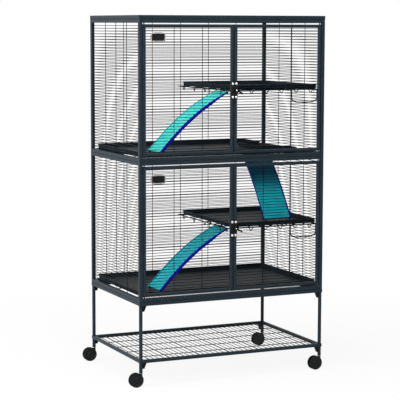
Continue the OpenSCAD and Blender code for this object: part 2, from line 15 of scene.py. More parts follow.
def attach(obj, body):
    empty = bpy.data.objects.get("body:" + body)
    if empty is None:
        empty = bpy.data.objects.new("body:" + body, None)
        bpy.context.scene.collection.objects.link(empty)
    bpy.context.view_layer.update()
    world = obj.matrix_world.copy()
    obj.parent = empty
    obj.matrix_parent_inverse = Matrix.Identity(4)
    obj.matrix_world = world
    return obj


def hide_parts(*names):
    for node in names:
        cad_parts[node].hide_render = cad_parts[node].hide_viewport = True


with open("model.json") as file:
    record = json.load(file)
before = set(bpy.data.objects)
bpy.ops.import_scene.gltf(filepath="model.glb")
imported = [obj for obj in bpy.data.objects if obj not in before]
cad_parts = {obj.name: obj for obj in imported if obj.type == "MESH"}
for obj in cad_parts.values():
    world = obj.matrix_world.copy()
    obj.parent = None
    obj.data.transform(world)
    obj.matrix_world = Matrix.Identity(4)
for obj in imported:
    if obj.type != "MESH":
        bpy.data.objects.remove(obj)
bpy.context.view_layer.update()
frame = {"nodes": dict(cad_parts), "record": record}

# %% [markdown]
# The wires, pans and ramps below have to land on the tubes, so the sizes that place them are named here
# once. They are the same numbers that the cage was drawn with, about the middle of its walls. The casters
# trail to the left, so the middle of the whole cage, where the frame has its origin, lies a little to the
# left of that: every finished piece is moved by SHIFT at the end.

# %% Sizes that place the pieces
MM = 0.001
HALF_W, HALF_D = 457 * MM, 305 * MM  # half the walls' width and depth
TUBE = 16.5 * MM  # side of the square tube
IN_X, IN_Y = HALF_W - TUBE, HALF_D - TUBE
MID_X, MID_Y = HALF_W - TUBE / 2, HALF_D - TUBE / 2
UNIT = 621 * MM  # height of one storey
STAND_TOP = 362.5 * MM
Z_LOW = STAND_TOP + TUBE
Z_UP = Z_LOW + UNIT
Z_ROOF = Z_UP + UNIT
WALL_PITCH, DECK_PITCH = 12.7 * MM, 12.3 * MM  # the steps below come close to these
WALL_H = UNIT - 2 * TUBE
WALL_COUNT = round(WALL_H / WALL_PITCH) - 1
WALL_STEP = WALL_H / (WALL_COUNT + 1)
DECK_COUNT = round(2 * IN_X / DECK_PITCH) - 1
DECK_STEP = 2 * IN_X / (DECK_COUNT + 1)
WIRE, POST, DECK = 2.6 * MM, 3.0 * MM, 2.8 * MM  # level wires, posts across them, floor wires
WELD = 0.5 * MM  # how deep crossing wires sink into each other
LEG_R, WHEEL_R, TRAIL = 8 * MM, 32 * MM, 23 * MM
PAST_LEG = 9 * MM  # how far the cage reaches past the middle of its right legs
SHIFT = (WHEEL_R + TRAIL - PAST_LEG) / 2
print(f"{WALL_COUNT} level wires to a wall, {DECK_COUNT} wires to a floor")

# %% [markdown]
# ## Camera
# A long lens seen from the front left, a little above the roof, gives the photograph's view. Blender
# could aim it with a constraint, but a fitted angle is written straight into the camera, so that nothing
# has to be solved later. Its three turns are yaw, pitch and a trace of roll.

# %% Camera
EYE = Vector((-2.9499 + SHIFT, -6.4674, 1.5928))
YAW, PITCH, ROLL = 0.4242, 0.1135, 0.0023
LENS = 137.8
ahead = Vector((math.sin(YAW) * math.cos(PITCH), math.cos(YAW) * math.cos(PITCH), -math.sin(PITCH)))
level = Vector((math.cos(YAW), -math.sin(YAW), 0))
above = level.cross(ahead)
side = level * math.cos(ROLL) + above * math.sin(ROLL)
top = above * math.cos(ROLL) - level * math.sin(ROLL)
turn = Matrix((side, top, -ahead)).transposed().to_euler()
bpy.ops.object.camera_add(location=EYE, rotation=turn)
camera = bpy.context.object
camera.data.sensor_width = 36
camera.data.lens = LENS
bpy.context.scene.camera = camera
bpy.context.scene.view_settings.view_transform = "Standard"
print("camera", [round(math.degrees(a), 2) for a in camera.rotation_euler])

# %% [markdown]
# ## Helpers for modelling
# Every operator acts on what is selected, and the loaded frame is selected. So each helper first selects
# its own piece alone. `apply` adds a modifier, sets it and applies it at once, and `ease` does so with the
# bevel that most pieces end with. `pick` selects faces or edges by their place and direction.

# %% Selecting, editing and applying
def clear():
    """Object mode with nothing selected, as a new primitive needs it."""
    if bpy.context.mode != "OBJECT":
        bpy.ops.object.mode_set(mode="OBJECT")
    bpy.ops.object.select_all(action="DESELECT")


def only(ob):
    clear()
    ob.select_set(True)
    bpy.context.view_layer.objects.active = ob
    return ob


def settle(ob):
    """Moves the place, turn and scale of a piece into its mesh."""
    only(ob)
    bpy.ops.object.transform_apply()
    return ob


def apply(ob, kind, **values):
    only(ob)
    modifier = ob.modifiers.new(kind.lower(), kind)
    for key, value in values.items():
        setattr(modifier, key, value)
    bpy.ops.object.modifier_apply(modifier=modifier.name)
    return ob


def ease(ob, width, angle=50, segments=2):
    """Rounds every edge that bends by more than the angle, in degrees."""
    return apply(ob, "BEVEL", width=width, segments=segments, limit_method="ANGLE",
                 angle_limit=math.radians(angle))


def edit(ob, kind="FACE", action="SELECT"):
    """Edit mode for vertices, edges or faces, with all of them selected or none."""
    only(ob)
    bpy.ops.object.mode_set(mode="EDIT")
    bpy.ops.mesh.select_mode(type=kind)
    bpy.ops.mesh.select_all(action=action)


def pick(ob, kind, test):
    """Edit mode with the faces or edges selected for which test(middle, direction) is true."""
    edit(ob, kind, "DESELECT")
    bm = bmesh.from_edit_mesh(ob.data)
    for part in bm.faces if kind == "FACE" else bm.edges:
        if kind == "FACE":
            part.select_set(test(part.calc_center_median(), part.normal))
        else:
            a, b = (v.co for v in part.verts)
            part.select_set(test((a + b) / 2, (b - a).normalized()))
    bm.select_flush_mode()
    bmesh.update_edit_mesh(ob.data)
    return ob


def outward(ob):
    """Turns every face of a closed piece to the outside."""
    edit(ob)
    bpy.ops.mesh.normals_make_consistent()
    clear()
    return ob


def pull(way):
    """Extrudes what is selected."""
    bpy.ops.mesh.extrude_region_move(TRANSFORM_OT_translate={"value": way})


def give(ob, *finishes):
    """Adds finishes to a piece. Its faces take the first one."""
    for made in finishes:
        ob.data.materials.append(made)
    return ob


# %% Joining, copying and handing over
def merge(parts):
    """Joins pieces into the first one."""
    only(parts[0])
    for part in parts[1:]:
        part.select_set(True)
    if len(parts) > 1:
        bpy.ops.object.join()
    return parts[0]


def twin(ob, place):
    """A copy with a mesh of its own, moved to its place."""
    only(ob)
    bpy.ops.object.duplicate()
    new = bpy.context.object
    new.location = place
    return settle(new)


def done(ob, name, body, node, angle=40):
    """Moves a finished piece into the frame, names and shades it and hangs it on its body."""
    ob.location.x = SHIFT
    settle(ob)
    bpy.ops.object.shade_smooth_by_angle(angle=math.radians(angle))
    ob.name = ob.data.name = name
    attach(ob, body)
    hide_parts(node)
    print(f"{name}: {len(ob.data.polygons)} faces on {body}")
    return ob


# %% [markdown]
# ## Finishes
# Three effects return in many finishes: fine grain with broad patches, the islands of hammer paint and
# the pile of fleece. Each is a node group, built once and placed with its own values. They read Object
# coordinates, since every piece has its place in its mesh and the pattern then sits still.

# %% Node helpers
def add(tree, kind, x, y, inputs=(), **values):
    made = tree.nodes.new("ShaderNode" + kind)
    made.location = (x, y)
    for key, value in values.items():
        setattr(made, key, value)
    for key, value in dict(inputs).items():
        made.inputs[key].default_value = value
    return made


def link(source, out, target, into):
    source.id_data.links.new(source.outputs[out], target.inputs[into])


def new_group(name, inputs, outputs):
    """A node group with numbers going in and out. Gives back the group, its two ends and coordinates."""
    group = bpy.data.node_groups.new(name, "ShaderNodeTree")
    for way, labels in (("INPUT", inputs), ("OUTPUT", outputs)):
        for label in labels:
            group.interface.new_socket(label, in_out=way, socket_type="NodeSocketFloat")
    start, end = group.nodes.new("NodeGroupInput"), group.nodes.new("NodeGroupOutput")
    start.location, end.location = (-900, 0), (500, 0)
    return group, start, end, add(group, "TexCoord", -900, -250)


# %% Grain and patches
grain, start, end, where = new_group("Grain and patches", ["Grain size", "Patch size"], ["Grain", "Patches"])
fine = add(grain, "TexNoise", -400, 150, {"Detail": 3.0, "Roughness": 0.65})
broad = add(grain, "TexNoise", -400, -200, {"Detail": 4.0})
for noise, label, out in ((fine, "Grain size", "Grain"), (broad, "Patch size", "Patches")):
    spread = add(grain, "MapRange", -100, noise.location.y, {"From Min": 0.3, "From Max": 0.7})
    link(where, "Object", noise, "Vector")
    link(start, label, noise, "Scale")
    link(noise, "Fac", spread, "Value")
    link(spread, "Result", end, out)
print("group:", grain.name)

# %% [markdown]
# Hammer finish paint pulls together into small islands. A smooth Voronoi texture has that look: a point
# stands the higher, the nearer it is to the middle of its island.

# %% Hammered islands
hammer, start, end, where = new_group("Hammered islands", ["Island size"], ["Height"])
cells = add(hammer, "TexVoronoi", -500, 0, {"Smoothness": 0.6}, feature="SMOOTH_F1")
dome = add(hammer, "MapRange", -200, 100, {"From Max": 0.7, "To Min": 1.0, "To Max": 0.0})
link(where, "Object", cells, "Vector")
link(start, "Island size", cells, "Scale")
link(cells, "Distance", dome, "Value")
link(dome, "Result", end, "Height")
print("group:", hammer.name)

# %% [markdown]
# Fleece is a brushed knit: a soft pile in small tufts that lie this way and that. Two noises of unlike
# size give the tufts and the lay of the pile.

# %% Fleece pile
pile, start, end, where = new_group("Fleece pile", ["Tuft size", "Lay size"], ["Tufts", "Lay"])
lay = add(pile, "TexNoise", -650, -300)
tufts = add(pile, "TexNoise", -350, 100, {"Detail": 5.0, "Roughness": 0.7, "Distortion": 0.8})
for noise, label, out in ((lay, "Lay size", "Lay"), (tufts, "Tuft size", "Tufts")):
    link(where, "Object", noise, "Vector")
    link(start, label, noise, "Scale")
    link(noise, "Fac", end, out)
print("group:", pile.name)


# %% [markdown]
# A finish is one Principled BSDF whose colour, roughness and bump follow those groups. Numbers that are
# the same all over stand on the shader's own sockets.

# %% One helper for every finish
def finish(name, low, high, rough, group, sizes, tone, relief, height, bump, **fixed):
    """A material. tone colours it between low and high, relief drives roughness and bump."""
    made = bpy.data.materials.new(name)
    made.use_nodes = True
    tree = made.node_tree
    shader = tree.nodes["Principled BSDF"]
    for label, value in fixed.items():
        shader.inputs[label.replace("_", " ")].default_value = value
    look = add(tree, "Group", -1100, 0, sizes, node_tree=group)
    paint = add(tree, "Mix", -600, 250, {"A": (*low, 1), "B": (*high, 1)}, data_type="RGBA")
    link(look, tone, paint, "Factor")
    link(paint, "Result", shader, "Base Color")
    sheen = add(tree, "MapRange", -600, -50, {"To Min": rough[0], "To Max": rough[1]})
    link(look, relief, sheen, "Value")
    link(sheen, "Result", shader, "Roughness")
    dent = add(tree, "Bump", -300, -300, {"Strength": bump, "Distance": height})
    link(look, relief, dent, "Height")
    link(dent, "Normal", shader, "Normal")
    return made


# %% Finishes of the metal
def grained(name, low, high, rough, grain_size, patch_size, height, bump, **fixed):
    """A finish whose patches change its colour and whose grain changes its gloss and bump."""
    return finish(name, low, high, rough, grain, {"Grain size": grain_size, "Patch size": patch_size},
                  "Patches", "Grain", height, bump, **fixed)


coat = finish("hammered_coat", (0.009, 0.016, 0.022), (0.028, 0.043, 0.056), (0.46, 0.32), hammer,
              {"Island size": 420.0}, "Height", "Height", 0.0003, 0.4, Specular_IOR_Level=0.12,
              Specular_Tint=(0.85, 0.95, 1.0, 1))
wire_coat = grained("wire_coat", (0.002, 0.004, 0.005), (0.005, 0.008, 0.010), (0.36, 0.5), 1500.0, 14.0,
                    0.0002, 0.2, Specular_IOR_Level=0.06)
zinc = grained("bright_zinc", (0.66, 0.67, 0.68), (0.88, 0.89, 0.90), (0.16, 0.34), 3000.0, 160.0,
               0.0001, 0.15, Metallic=1.0)
print("metal finishes:", coat.name, wire_coat.name, zinc.name)

# %% Finishes of the plastic
pan_black = grained("glossy_pan", (0.006, 0.010, 0.014), (0.014, 0.022, 0.029), (0.42, 0.52), 650.0, 7.0,
                    0.0001, 0.05, Specular_IOR_Level=0.035, Specular_Tint=(0.6, 0.85, 1.0, 1))
part_black = grained("black_plastic", (0.003, 0.004, 0.004), (0.008, 0.009, 0.010), (0.36, 0.5), 1100.0,
                     9.0, 0.0002, 0.2, Specular_IOR_Level=0.12)
nylon = grained("caster_nylon", (0.003, 0.004, 0.004), (0.009, 0.010, 0.011), (0.3, 0.42), 1700.0, 30.0,
                0.0002, 0.15, Specular_IOR_Level=0.15)
tread = grained("wheel_tread", (0.003, 0.003, 0.004), (0.009, 0.009, 0.010), (0.5, 0.7), 900.0, 60.0,
                0.0003, 0.3, Specular_IOR_Level=0.1)
pewter = grained("pewter_rim", (0.42, 0.45, 0.42), (0.58, 0.61, 0.57), (0.3, 0.42), 1100.0, 9.0,
                 0.0002, 0.15, Metallic=0.5)
print("plastic finishes:", pan_black.name, part_black.name, nylon.name, tread.name, pewter.name)

# %% Finishes of the cloth
SOFT = {"Sheen_Weight": 0.1, "Sheen_Roughness": 0.4, "Specular_IOR_Level": 0.1}
PILE = {"Tuft size": 520.0, "Lay size": 30.0}
binding = finish("blue_binding", (0.004, 0.005, 0.36), (0.010, 0.013, 0.60), (0.65, 0.85), pile,
                 {"Tuft size": 900.0, "Lay size": 60.0}, "Lay", "Tufts", 0.0006, 0.6,
                 Specular_IOR_Level=0.05)


# One fleece finish, made in copies that carry painted light and shade in their colours.
def lit_fleece(name, low, high):
    return finish(name, low, high, (0.85, 0.98), pile, PILE, "Lay", "Tufts", 0.0014, 0.9, **SOFT)


# The three covers are one fleece. The upper one is painted lighter, as lit from above through the roof, the
# lower one darker, as painted shade under the middle floor, and the hatch one lightest, as painted light on
# its foot lit from the front.
COVER_PAINT = {"upper": lit_fleece("fleece_turquoise_painted_light", (0.020, 0.46, 0.42), (0.070, 0.72, 0.64)),
               "lower": lit_fleece("fleece_teal_painted_shade", (0.010, 0.38, 0.45), (0.028, 0.57, 0.65)),
               "hatch": lit_fleece("fleece_lagoon_painted_light", (0.012, 0.58, 0.74), (0.036, 0.78, 0.90))}
print("cloth finishes:", *(made.name for made in COVER_PAINT.values()), binding.name)

# %% [markdown]
# The top of the cover in the hatch lies in the shadow of the middle floor, and that shadow is painted
# into its colour: the height of a point, which is its Z in Object coordinates, lays a darker painted
# shade over the cover's own colour.

# %% Painted shadow of the middle floor at the top of the hatch cover
# Painted shadow: it starts at FADE_FROM and is full at FADE_TO, in metres of height, and FADE_MOST is how
# far its colour covers the fleece.
FADE_FROM, FADE_TO, FADE_MOST = 0.80, 0.90, 0.9  # heights in metres, and the most that is covered
PAINTED_SHADOW_COLOUR = (0.004, 0.10, 0.24, 1)
tree = COVER_PAINT["hatch"].node_tree
paint = next(node for node in tree.nodes if node.type == "MIX")
spot = add(tree, "TexCoord", -1100, 500)
axes = add(tree, "SeparateXYZ", -900, 500)
fade = add(tree, "MapRange", -700, 500, {"From Min": FADE_FROM, "From Max": FADE_TO, "To Max": FADE_MOST})
deeper = add(tree, "Mix", -300, 400, {"B": PAINTED_SHADOW_COLOUR}, data_type="RGBA")
link(spot, "Object", axes, "Vector")
link(axes, "Z", fade, "Value")
link(fade, "Result", deeper, "Factor")
link(paint, "Result", deeper, "A")
link(deeper, "Result", tree.nodes["Principled BSDF"], "Base Color")
print("painted shadow from", FADE_FROM, "to", FADE_TO, "m")

# %% [markdown]
# The frame's welded tubes keep the shape that they were drawn with, down to the chamfer along their
# edges. They only get their paint.

# %% Paint for the frame's own nodes
BY_SLOT = {"frame": coat, "wire": wire_coat, "pan": pan_black, "black_part": part_black,
           "caster": nylon, "fleece": COVER_PAINT["upper"]}
for part in frame["record"]["subparts"]:
    materials = frame["nodes"][part["node"]].data.materials
    materials.clear()
    materials.append(BY_SLOT[part["material_slot"]])


# %% [markdown]
# ## Welded wire panels
# A panel is straight wire, cut and spot-welded where it crosses a few posts. One wire is a thin
# cylinder and an Array modifier repeats it, which keeps every wire at the same pitch; drawing each by
# hand would only add chances to slip. The wires and posts sink half a millimetre into each other.

# %% Wires
def rod(a, b, thick, sides=8):
    """A straight wire from a to b."""
    a, b = Vector(a), Vector(b)
    clear()
    bpy.ops.mesh.primitive_cylinder_add(vertices=sides, radius=thick / 2, depth=(b - a).length,
                                        location=(a + b) / 2,
                                        rotation=(b - a).to_track_quat("Z", "Y").to_euler())
    return give(settle(bpy.context.object), wire_coat)


def row(ob, step, count):
    return apply(ob, "ARRAY", count=count, use_relative_offset=False, use_constant_offset=True,
                 constant_offset_displace=step)


def bent(points, thick, turn=6 * MM, arc=4, paint=wire_coat):
    """A wire bent through the points. A corner starts turn metres before the point and has arc steps."""
    points = [Vector(p) for p in points]
    path = [points[0]]
    for a, b, c in zip(points, points[1:], points[2:]):
        reach = min(turn, (a - b).length / 2, (c - b).length / 2)
        p, q = b + (a - b).normalized() * reach, b + (c - b).normalized() * reach
        for k in range(arc + 1):
            s = k / arc
            path.append(p * (1 - s) ** 2 + b * 2 * s * (1 - s) + q * s * s)
    path.append(points[-1])
    curve = bpy.data.curves.new("bent_wire", "CURVE")
    curve.dimensions = "3D"
    curve.bevel_depth = thick / 2
    curve.bevel_resolution = 2
    curve.use_fill_caps = True
    spline = curve.splines.new("POLY")
    spline.points.add(len(path) - 1)
    for target, p in zip(spline.points, path):
        target.co = (*p, 1)
    ob = bpy.data.objects.new("bent_wire", curve)
    bpy.context.scene.collection.objects.link(ob)
    only(ob)
    bpy.ops.object.convert(target="MESH")
    ob = bpy.context.object
    ob.data.materials.clear()
    return give(ob, paint)


def welded(parts, name, body, node):
    """Joins a panel's wires, with smooth shading up to 60 degrees."""
    return done(merge(parts), name, body, node, 60)


# %% Side and back walls
Z_WIRES = {"lower": Z_LOW + TUBE, "upper": Z_UP + TUBE}
POST_IN = (WIRE + POST) / 2 - WELD
SIDE_POST = 131 * MM  # from post to post, with one in the middle


def wire_panel(a, b, z, height, count, post, step, posts, name, body, node):
    """Level wires from a to b, and posts: the first place, the step and their number."""
    rise = height / (count + 1)
    wires = row(rod((*a, z + rise), (*b, z + rise), WIRE), (0, 0, rise), count)
    uprights = row(rod((*post, z), (*post, z + height), POST), (*step, 0), posts)
    welded([wires, uprights], name, body, node)


for storey, z in Z_WIRES.items():
    for x, inward, side in ((-MID_X, POST_IN, "left"), (MID_X, -POST_IN, "right")):
        wire_panel((x, -IN_Y), (x, IN_Y), z, WALL_H, WALL_COUNT, (x + inward, -SIDE_POST), (0, SIDE_POST), 3,
                   f"{storey}_wires_{side}", "cage", f"{storey}_mesh_{side}")
    wire_panel((-IN_X, MID_Y), (IN_X, MID_Y), z, WALL_H, WALL_COUNT, (-IN_X * 2 / 3, MID_Y - POST_IN),
               (IN_X / 3, 0), 5, f"{storey}_wires_back", "cage", f"{storey}_mesh_back")

# %% [markdown]
# The doors carry the same wire. Its step is fitted to the door's own height, so it comes out a tenth of a
# millimetre closer than in the walls.

# %% Door panels
DOOR_TUBE, DOOR_GAP = 15 * MM, 6.5 * MM  # side of a door's tube, gap above and below the door
DOOR_SPLIT, DOOR_PLAY = 2 * MM, 1.3 * MM  # gap between two doors, gap at the hinges
DOOR_Y = -HALF_D + DOOR_TUBE / 2
DOOR_IN0 = DOOR_SPLIT / 2 + DOOR_TUBE
DOOR_IN1 = IN_X - DOOR_PLAY - DOOR_TUBE
DOOR_H = UNIT - 2 * (TUBE + DOOR_GAP + DOOR_TUBE)
DOOR_COUNT = round(DOOR_H / WALL_PITCH) - 1
THIRD = (DOOR_IN1 - DOOR_IN0) / 3
for storey, base in (("u", Z_UP), ("l", Z_LOW)):
    z = base + TUBE + DOOR_GAP + DOOR_TUBE
    for sign, side in ((-1, "l"), (1, "r")):
        door = f"door_{storey}{side}"
        wire_panel((sign * DOOR_IN0, DOOR_Y), (sign * DOOR_IN1, DOOR_Y), z, DOOR_H, DOOR_COUNT,
                   (sign * (DOOR_IN0 + THIRD), DOOR_Y + POST_IN), (sign * THIRD, 0), 2,
                   f"{door}_wires", door, f"{door}_mesh")

# %% [markdown]
# ## Floors and roof
# The wires of a floor run from front to back over a few cross wires. At the front corners the outermost
# wire stops short, because the door's hinge pin passes there.

# %% Floors
FRONT, BACK = -HALF_D + 6 * MM, MID_Y - 4 * MM
FRONT_AT_PIN = FRONT + 9 * MM
CROSS, CROSS_DROP = 4 * MM, 1.5 * MM  # thickness of a cross wire, and how far below the floor it lies
FLOOR_CROSS, ROOF_CROSS = 240 * MM, 145 * MM
ROOF_RISE = 8 * MM


def deck_wires(z, y0, y1, first, last):
    """Floor wires with numbers first to last, between y0 and y1."""
    x = -IN_X + first * DECK_STEP
    wire = rod((x, y0, z + DECK / 2), (x, y1, z + DECK / 2), DECK)
    return row(wire, (DECK_STEP, 0, 0), last - first + 1)


def pin_wires(z):
    return [deck_wires(z, FRONT_AT_PIN, BACK, k, k) for k in (1, DECK_COUNT)]


def cross_wires(z, x0, x1, ys):
    return [rod((x0, y, z - CROSS_DROP), (x1, y, z - CROSS_DROP), CROSS) for y in ys]


z = Z_LOW + TUBE
parts = [deck_wires(z, FRONT, BACK, 2, DECK_COUNT - 1)] + pin_wires(z)
parts += cross_wires(z, -IN_X, IN_X, (-FLOOR_CROSS, 0, FLOOR_CROSS))
welded(parts, "lower_floor_wires", "cage", "lower_floor")
z = Z_ROOF + ROOF_RISE
parts = [deck_wires(z, -IN_Y, IN_Y, 1, DECK_COUNT)]
parts += cross_wires(z, -IN_X, IN_X, (-ROOF_CROSS, 0, ROOF_CROSS))
welded(parts, "roof_wires", "cage", "roof_mesh")

# %% [markdown]
# The middle floor has an opening for the ramp at the right. Its wires stop at a rectangle of thicker
# wire, and the ramp hangs on a rod across it.

# %% Middle floor
HATCH_N0, HATCH_N1 = (math.floor((x + IN_X) / DECK_STEP) for x in (205 * MM, 385 * MM))
HATCH_X0, HATCH_X1 = (-IN_X + (n + 0.5) * DECK_STEP for n in (HATCH_N0, HATCH_N1))
HATCH_Y0, HATCH_Y1 = -192 * MM, 97 * MM
HATCH_ROD = (84 * MM, Z_UP + TUBE - 5.5 * MM)  # y and z of the rod that the ramp hangs on
MID_CROSS = 245 * MM
z = Z_UP + TUBE
parts = [deck_wires(z, FRONT, BACK, 2, HATCH_N0), deck_wires(z, FRONT, BACK, HATCH_N1 + 1, DECK_COUNT - 1),
         deck_wires(z, FRONT, HATCH_Y0, HATCH_N0 + 1, HATCH_N1),
         deck_wires(z, HATCH_Y1, BACK, HATCH_N0 + 1, HATCH_N1)]
parts += pin_wires(z) + cross_wires(z, -IN_X, IN_X, (-MID_CROSS, MID_CROSS))
parts += cross_wires(z, -IN_X, HATCH_X0, (0,)) + cross_wires(z, HATCH_X1, IN_X, (0,))
mid, rim_z = (HATCH_X0 + HATCH_X1) / 2, z - 2 * MM
corners = [(HATCH_X1, HATCH_Y0), (HATCH_X1, HATCH_Y1), (HATCH_X0, HATCH_Y1), (HATCH_X0, HATCH_Y0)]
ring = [(mid, HATCH_Y0), *corners, (mid + 2 * MM, HATCH_Y0)]
parts.append(bent([(x, y, rim_z) for x, y in ring], 4.8 * MM, 8 * MM))
parts.append(rod((HATCH_X0, *HATCH_ROD), (HATCH_X1, *HATCH_ROD), 5 * MM, 12))
welded(parts, "mid_floor_wires", "cage", "mid_floor")

# %% [markdown]
# The low shelf on the stand has a wider mesh, whose wires lie in pairs here and there.

# %% Low shelf
RACK_X, RACK_Y, RACK_Z = HALF_W - 15 * MM, HALF_D - 15 * MM, 117 * MM
RACK_COUNT = round(2 * RACK_X / (24.5 * MM))
RACK_STEP = 2 * RACK_X / RACK_COUNT
RACK_START = 0.57  # the first wire stands this share of a step short of a whole one
PAIRED, PAIR_GAP = (2, 6, 12, 18, 24, 30, 34), 3 * MM
BAR, BAR_Y, BAR_STEP = 3.4 * MM, -214.8 * MM, 117.4 * MM  # thickness, first place and step of cross wires


def rack_wire(k, aside=0.0):
    x, z = -RACK_X + RACK_STEP * (k - RACK_START) + aside, RACK_Z + DECK / 2
    return rod((x, -RACK_Y, z), (x, RACK_Y, z), DECK)


parts = [row(rack_wire(1), (RACK_STEP, 0, 0), RACK_COUNT)]
parts += [rack_wire(k, PAIR_GAP) for k in PAIRED]
z = RACK_Z - 1.2 * MM
parts.append(row(rod((-RACK_X, BAR_Y, z), (RACK_X, BAR_Y, z), BAR), (0, BAR_STEP, 0), 5))
welded(parts, "rack_wires", "cage", "rack_grid")

# %% [markdown]
# ## Half shelves
# Each storey has a shelf over its right half: a frame of rod with welded wires, which hooks over the
# level wires of the side and the back. Short V's hang under its open edges, and a wide guard under
# the front edge at the right. Every bent wire is a path with a radius at each corner.

# %% Shelf frames
SHELF_X0, SHELF_X1, SHELF_Y = -14 * MM, 434 * MM, 283 * MM
SHELF_Z = {s: z + 22.5 * WALL_STEP for s, z in Z_WIRES.items()}
SHELF_WIRE, SHELF_CROSS = 3.4 * MM, 140 * MM
HOOK, HOOK_OUT, HOOK_DOWN = 3.6 * MM, 6.2 * MM, 12 * MM  # thickness, reach past the wall, drop behind it
VEE, VEE_HALF, VEE_DEEP = 4 * MM, 11 * MM, 17 * MM
GUARD_MM = ((299, -2.7), (299, -45), (323, -58), (404, -58), (430, -46), (430, -2.7))  # x and drop


def shelf_rods(z):
    """The four rods of the frame and the wires welded between them."""
    rods = [rod((SHELF_X0 - 2.5 * MM, y, z), (SHELF_X1 + 2.5 * MM, y, z), 5.4 * MM, 12)
            for y in (-SHELF_Y, SHELF_Y)]
    rods += [rod((x, -SHELF_Y, z), (x, SHELF_Y, z), 5 * MM, 12) for x in (SHELF_X0, SHELF_X1)]
    step = (SHELF_X1 - SHELF_X0) / 8
    x, up, down = SHELF_X0 + step, z + 0.6 * MM, z - 2.1 * MM
    rods.append(row(rod((x, -SHELF_Y, up), (x, SHELF_Y, up), SHELF_WIRE), (step, 0, 0), 7))
    rods.append(row(rod((SHELF_X0, -SHELF_CROSS, down), (SHELF_X1, -SHELF_CROSS, down), SHELF_WIRE),
                    (0, SHELF_CROSS, 0), 3))
    return rods


def shelf_hooks(z):
    """Hooks over the level wires of the right wall and of the back."""
    x_out, y_out, low = MID_X + HOOK_OUT, MID_Y + HOOK_OUT, z - HOOK_DOWN
    right = [((SHELF_X1, y, z), (x_out, y, z), (x_out, y, low)) for y in (-0.205, 0.07, 0.205)]
    back = [((x, SHELF_Y, z), (x, y_out, z), (x, y_out, low)) for x in (0.075, 0.225, 0.37)]
    return [bent(points, HOOK, 4 * MM) for points in right + back]


def shelf_vees(z):
    """V's under the front edge, one each 75 mm, and under the left edge."""
    low = z - VEE_DEEP
    front = [((x - VEE_HALF, -SHELF_Y, z), (x, -SHELF_Y, low), (x + VEE_HALF, -SHELF_Y, z))
             for x in (22 * MM + 75 * MM * k for k in range(6))]
    left = [((SHELF_X0, y - VEE_HALF, z), (SHELF_X0, y, low), (SHELF_X0, y + VEE_HALF, z))
            for y in (-0.262, -0.02, 0.1, 0.22)]
    return [bent(points, VEE, 4 * MM) for points in front + left]


for storey, z in SHELF_Z.items():
    welded(shelf_rods(z) + shelf_hooks(z) + shelf_vees(z), f"{storey}_shelf_wires", "cage",
           f"{storey}_shelf_frame")
    guard = bent([(x * MM, -SHELF_Y, z + dz * MM) for x, dz in GUARD_MM], 5.2 * MM, 8 * MM)
    welded([guard], f"{storey}_shelf_guard", "cage", f"{storey}_shelf_bracket")

# %% [markdown]
# ## Moulded pans
# A pan is one vacuum-formed sheet of black plastic: a rim that turns down, walls with a little draft and
# a flat floor with rounded corners. It could be a box with a hole cut in it, but a flat outline that is
# beveled, inset and extruded gives the even wall and soft corners of the real thing.

# %% Pan helper
PAN_SHEET, PAN_ROUND = 2.4 * MM, 24 * MM
RIM_FLAT, RIM_DOWN, DRAFT = 5 * MM, 3.2 * MM, 1.5 * MM


def bite(ob, x, y0, y1):
    """Cuts the flat outline along three lines and takes out what lies right of x between y0 and y1."""
    for point, normal in (((x, 0, 0), (1, 0, 0)), ((0, y0, 0), (0, 1, 0)), ((0, y1, 0), (0, 1, 0))):
        edit(ob)
        bpy.ops.mesh.bisect(plane_co=point, plane_no=normal)
    pick(ob, "FACE", lambda c, n: c.x > x and y0 < c.y < y1)
    bpy.ops.mesh.delete(type="FACE")
    edit(ob)
    bpy.ops.mesh.dissolve_limited(angle_limit=0.01)


def pan(name, x0, y0, x1, y1, z, height, notch=None):
    """A pan whose rim spans the rectangle. notch = (x, y0, y1) takes a bite out of its right side."""
    clear()
    bpy.ops.mesh.primitive_plane_add(size=1, location=((x0 + x1) / 2, (y0 + y1) / 2, z + height))
    ob = bpy.context.object
    ob.scale = (x1 - x0, y1 - y0, 1)
    settle(ob)
    if notch:
        bite(ob, *notch)
    edit(ob, "VERT")
    bpy.ops.mesh.bevel(offset=PAN_ROUND, segments=6, affect="VERTICES")
    edit(ob)
    bpy.ops.mesh.inset(thickness=RIM_FLAT)
    bpy.ops.mesh.inset(thickness=DRAFT, depth=-(height - PAN_SHEET))
    edit(ob, "EDGE", "DESELECT")
    bpy.ops.mesh.select_non_manifold(extend=False)
    pull((0, 0, -RIM_DOWN))
    apply(ob, "SOLIDIFY", thickness=PAN_SHEET - 0.4 * MM, offset=-1.0)
    ease(ob, 0.9 * MM, 40)
    return done(give(ob, pan_black), f"{name}_moulded", "cage", name)


# %% Four pans
RIM = 3 * MM  # how far the rim stands out over the pan's wall
PAN_X, PAN_Y, NOTCHED_X = 436 * MM + RIM, 280 * MM + RIM, 335 * MM + RIM
FLOOR_H, SHELF_H = 21.5 * MM, 20 * MM
pan("lower_pan", -PAN_X, -PAN_Y, PAN_X, PAN_Y, Z_LOW + TUBE + DECK, FLOOR_H)
pan("upper_pan", -PAN_X, -PAN_Y, NOTCHED_X, PAN_Y, Z_UP + TUBE + DECK, FLOOR_H,
    (HATCH_X0 + 7 * MM, HATCH_Y0 + 5 * MM, HATCH_Y1 - 7 * MM))
for storey in ("lower", "upper"):
    pan(f"{storey}_shelf_pan", -1 * MM - RIM, -278 * MM - RIM, 438 * MM + RIM, 278 * MM + RIM,
        SHELF_Z[storey] + 2.5 * MM, SHELF_H)

# %% [markdown]
# ## Ramps
# A ramp is a wire ladder with two hooks, inside a padded fleece cover. It arches between its ends.
# Ladder and cover follow the same line, so a point on it is worked out once: run out from the rod, and
# height.

